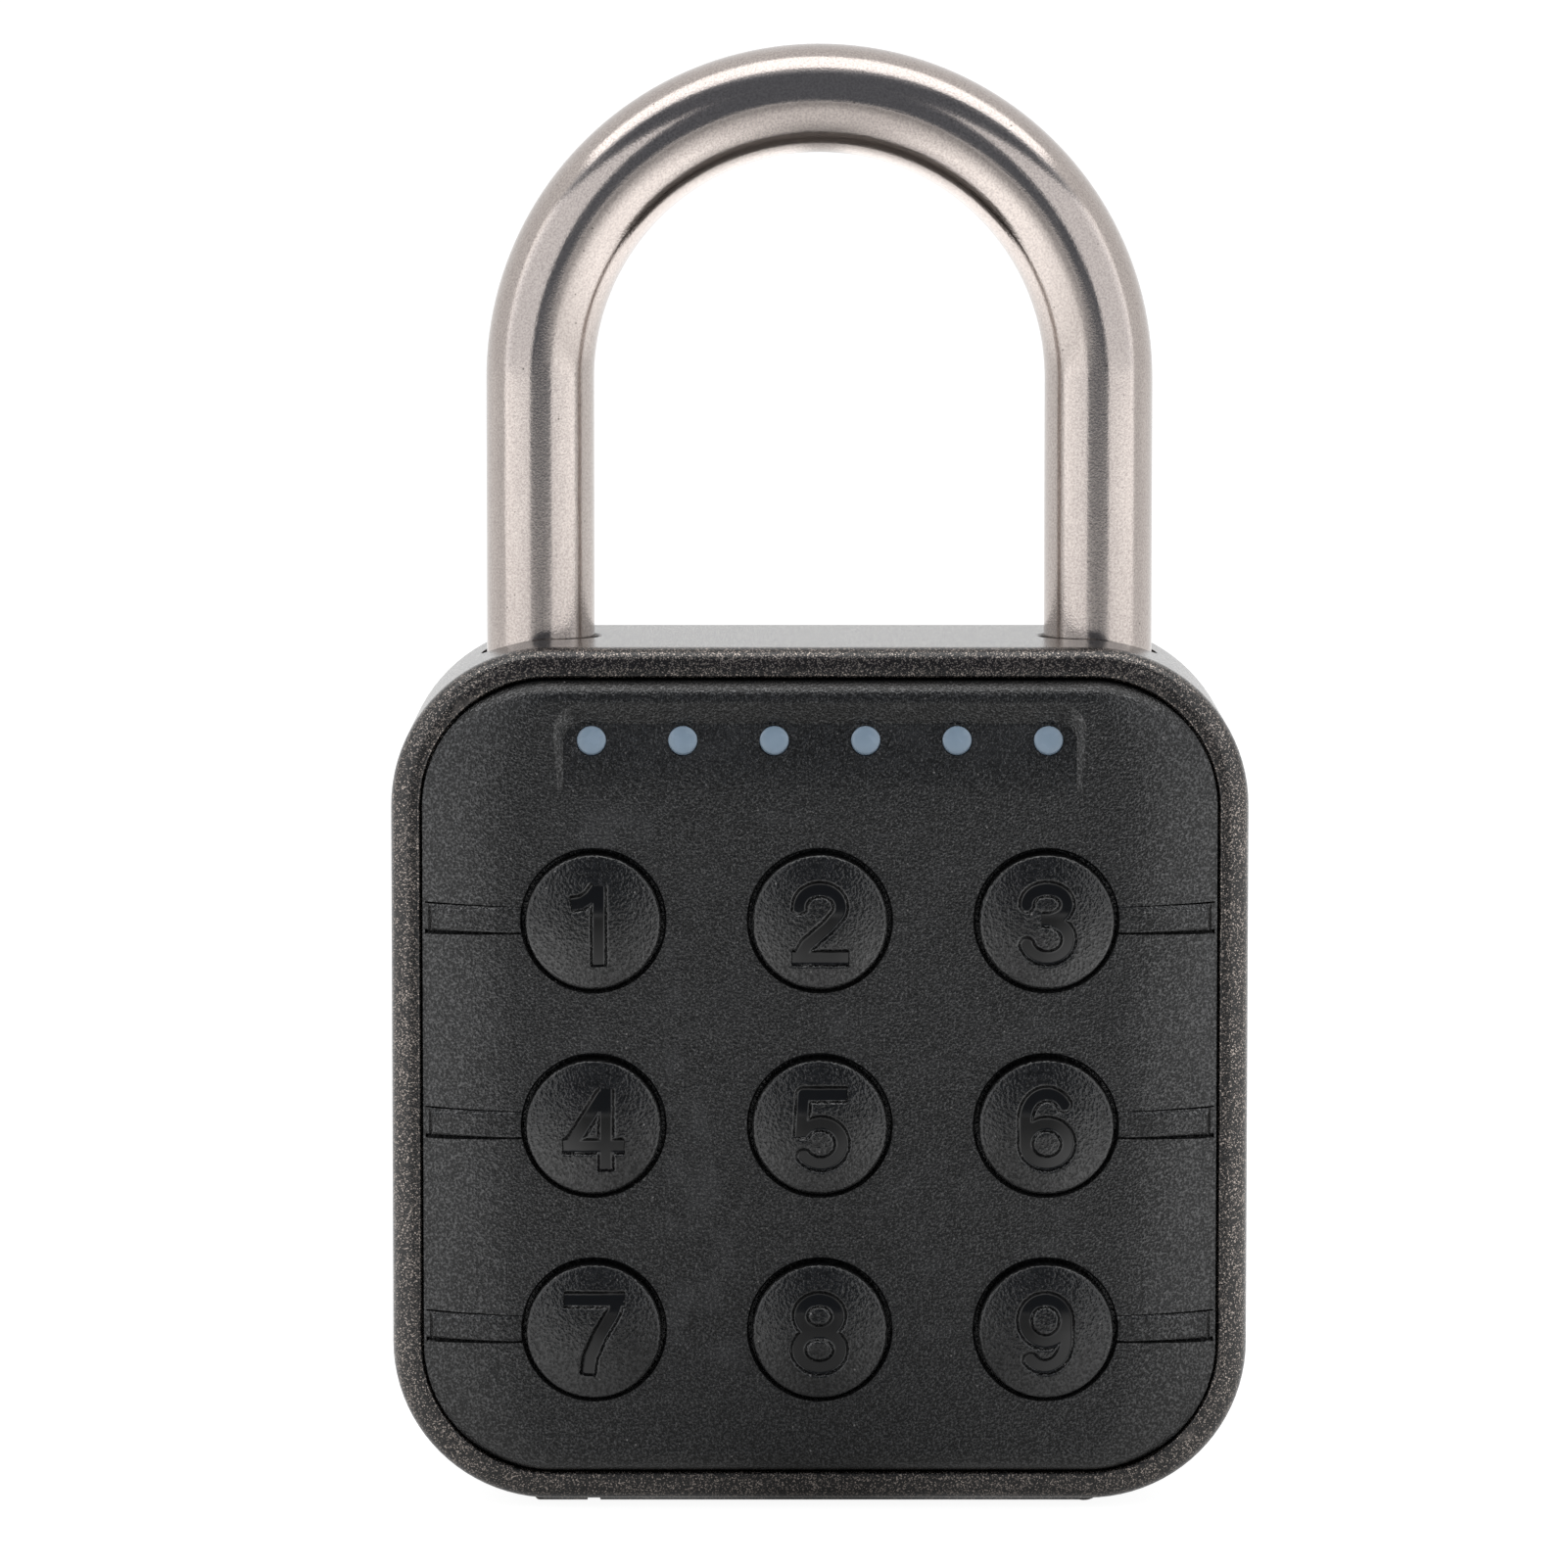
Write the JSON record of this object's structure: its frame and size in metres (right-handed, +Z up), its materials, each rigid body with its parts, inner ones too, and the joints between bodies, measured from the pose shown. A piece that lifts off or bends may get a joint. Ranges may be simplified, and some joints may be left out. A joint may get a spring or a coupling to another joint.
{
  "type": "push-button padlock",
  "caption": "Square padlock with a dark die-cast body, numbered round push buttons, indicator dots and a bent steel shackle.",
  "frame": {"origin": "middle of the whole object's plan, at the height of its lowest face, the battery door's underside", "axes": "+Z up along the shackle's legs, -Y the way the buttons face, +X to the right seen from the front"},
  "size_m": [0.0586, 0.027, 0.1004],
  "materials": {
    "sandy_paint": "sandy dark gunmetal coating, slightly glittering",
    "panel_plastic": "fine moulded texture, black",
    "button_plastic": "black, satin, domed",
    "stainless": "polished stainless bar",
    "steel": "plain bright steel",
    "zinc": "die-cast zinc, as cast",
    "brass": "plain brass",
    "rubber": "black seal rubber",
    "milky_plastic": "milky blue-grey, translucent look",
    "board": "green circuit board laminate",
    "switch_black": "black moulded switch",
    "chip_white": "off-white small plastic piece",
    "cell_wrap": "printed-free wrap of a cylindrical cell"
  },
  "bodies": {
    "case": {"body_shell": "sandy_paint", "front_panel": "panel_plastic", "panel_gasket": "rubber", "circuit_board": "board", "light_guide": "milky_plastic", "lock_case": "zinc", "case_cover": "steel", "gear_motor": "steel", "heel_pin": "steel", "lift_spring": "steel", "battery_cell": "cell_wrap", "battery_contact_left": "brass", "battery_contact_right": "brass", "door_hinge_pin": "steel", "board_screw_1": "steel", "board_screw_2": "steel", "case_screw_1": "steel", "case_screw_2": "steel", "case_screw_3": "steel", "case_screw_4": "steel", "led_1": "chip_white", "led_2": "chip_white", "led_3": "chip_white", "led_4": "chip_white", "led_5": "chip_white", "led_6": "chip_white", "switch_body_1": "switch_black", "switch_body_2": "switch_black", "switch_body_3": "switch_black", "switch_body_4": "switch_black", "switch_body_5": "switch_black", "switch_body_6": "switch_black", "switch_body_7": "switch_black", "switch_body_8": "switch_black", "switch_body_9": "switch_black"},
    "shackle": {"shackle": "stainless"},
    "latch": {"latch_bolt": "steel"},
    "pinion": {"drive_pinion": "brass"},
    "door": {"battery_door": "sandy_paint"},
    "key_1": {"button_1": "button_plastic", "switch_plunger_1": "chip_white"},
    "key_2": {"button_2": "button_plastic", "switch_plunger_2": "chip_white"},
    "key_3": {"button_3": "button_plastic", "switch_plunger_3": "chip_white"},
    "key_4": {"button_4": "button_plastic", "switch_plunger_4": "chip_white"},
    "key_5": {"button_5": "button_plastic", "switch_plunger_5": "chip_white"},
    "key_6": {"button_6": "button_plastic", "switch_plunger_6": "chip_white"},
    "key_7": {"button_7": "button_plastic", "switch_plunger_7": "chip_white"},
    "key_8": {"button_8": "button_plastic", "switch_plunger_8": "chip_white"},
    "key_9": {"button_9": "button_plastic", "switch_plunger_9": "chip_white"}
  },
  "joints": [
    {"name": "press_1", "type": "slide", "parent": "case", "child": "key_1", "axis": [0, 1, 0], "range_m": [0, 0.0004], "stiffness_N_per_m": 1500, "springref_m": -0.0004},
    {"name": "press_2", "type": "slide", "parent": "case", "child": "key_2", "axis": [0, 1, 0], "range_m": [0, 0.0004], "stiffness_N_per_m": 1500, "springref_m": -0.0004},
    {"name": "press_3", "type": "slide", "parent": "case", "child": "key_3", "axis": [0, 1, 0], "range_m": [0, 0.0004], "stiffness_N_per_m": 1500, "springref_m": -0.0004},
    {"name": "press_4", "type": "slide", "parent": "case", "child": "key_4", "axis": [0, 1, 0], "range_m": [0, 0.0004], "stiffness_N_per_m": 1500, "springref_m": -0.0004},
    {"name": "press_5", "type": "slide", "parent": "case", "child": "key_5", "axis": [0, 1, 0], "range_m": [0, 0.0004], "stiffness_N_per_m": 1500, "springref_m": -0.0004},
    {"name": "press_6", "type": "slide", "parent": "case", "child": "key_6", "axis": [0, 1, 0], "range_m": [0, 0.0004], "stiffness_N_per_m": 1500, "springref_m": -0.0004},
    {"name": "press_7", "type": "slide", "parent": "case", "child": "key_7", "axis": [0, 1, 0], "range_m": [0, 0.0004], "stiffness_N_per_m": 1500, "springref_m": -0.0004},
    {"name": "press_8", "type": "slide", "parent": "case", "child": "key_8", "axis": [0, 1, 0], "range_m": [0, 0.0004], "stiffness_N_per_m": 1500, "springref_m": -0.0004},
    {"name": "press_9", "type": "slide", "parent": "case", "child": "key_9", "axis": [0, 1, 0], "range_m": [0, 0.0004], "stiffness_N_per_m": 1500, "springref_m": -0.0004},
    {"name": "shackle_lift", "type": "slide", "parent": "case", "child": "shackle", "axis": [0, 0, 1], "range_m": [0, 0.0145], "deforming": ["lift_spring"]},
    {"name": "latch_slide", "type": "slide", "parent": "case", "child": "latch", "axis": [1, 0, 0], "range_m": [0, 0.0023]},
    {"name": "pinion_turn", "type": "hinge", "parent": "case", "child": "pinion", "pos_m": [0, 0.00554, 0.0507], "axis": [0, 0, 1], "range_deg": [0, 55]},
    {"name": "door_hinge", "type": "hinge", "parent": "case", "child": "door", "pos_m": [0.0183, 0.0017, 0.0014], "axis": [0, -1, 0], "range_deg": [0, 90]}
  ],
  "couplings": [
    {"joint": "pinion_turn", "follows": "latch_slide", "rad_per_m": 416.67}
  ]
}
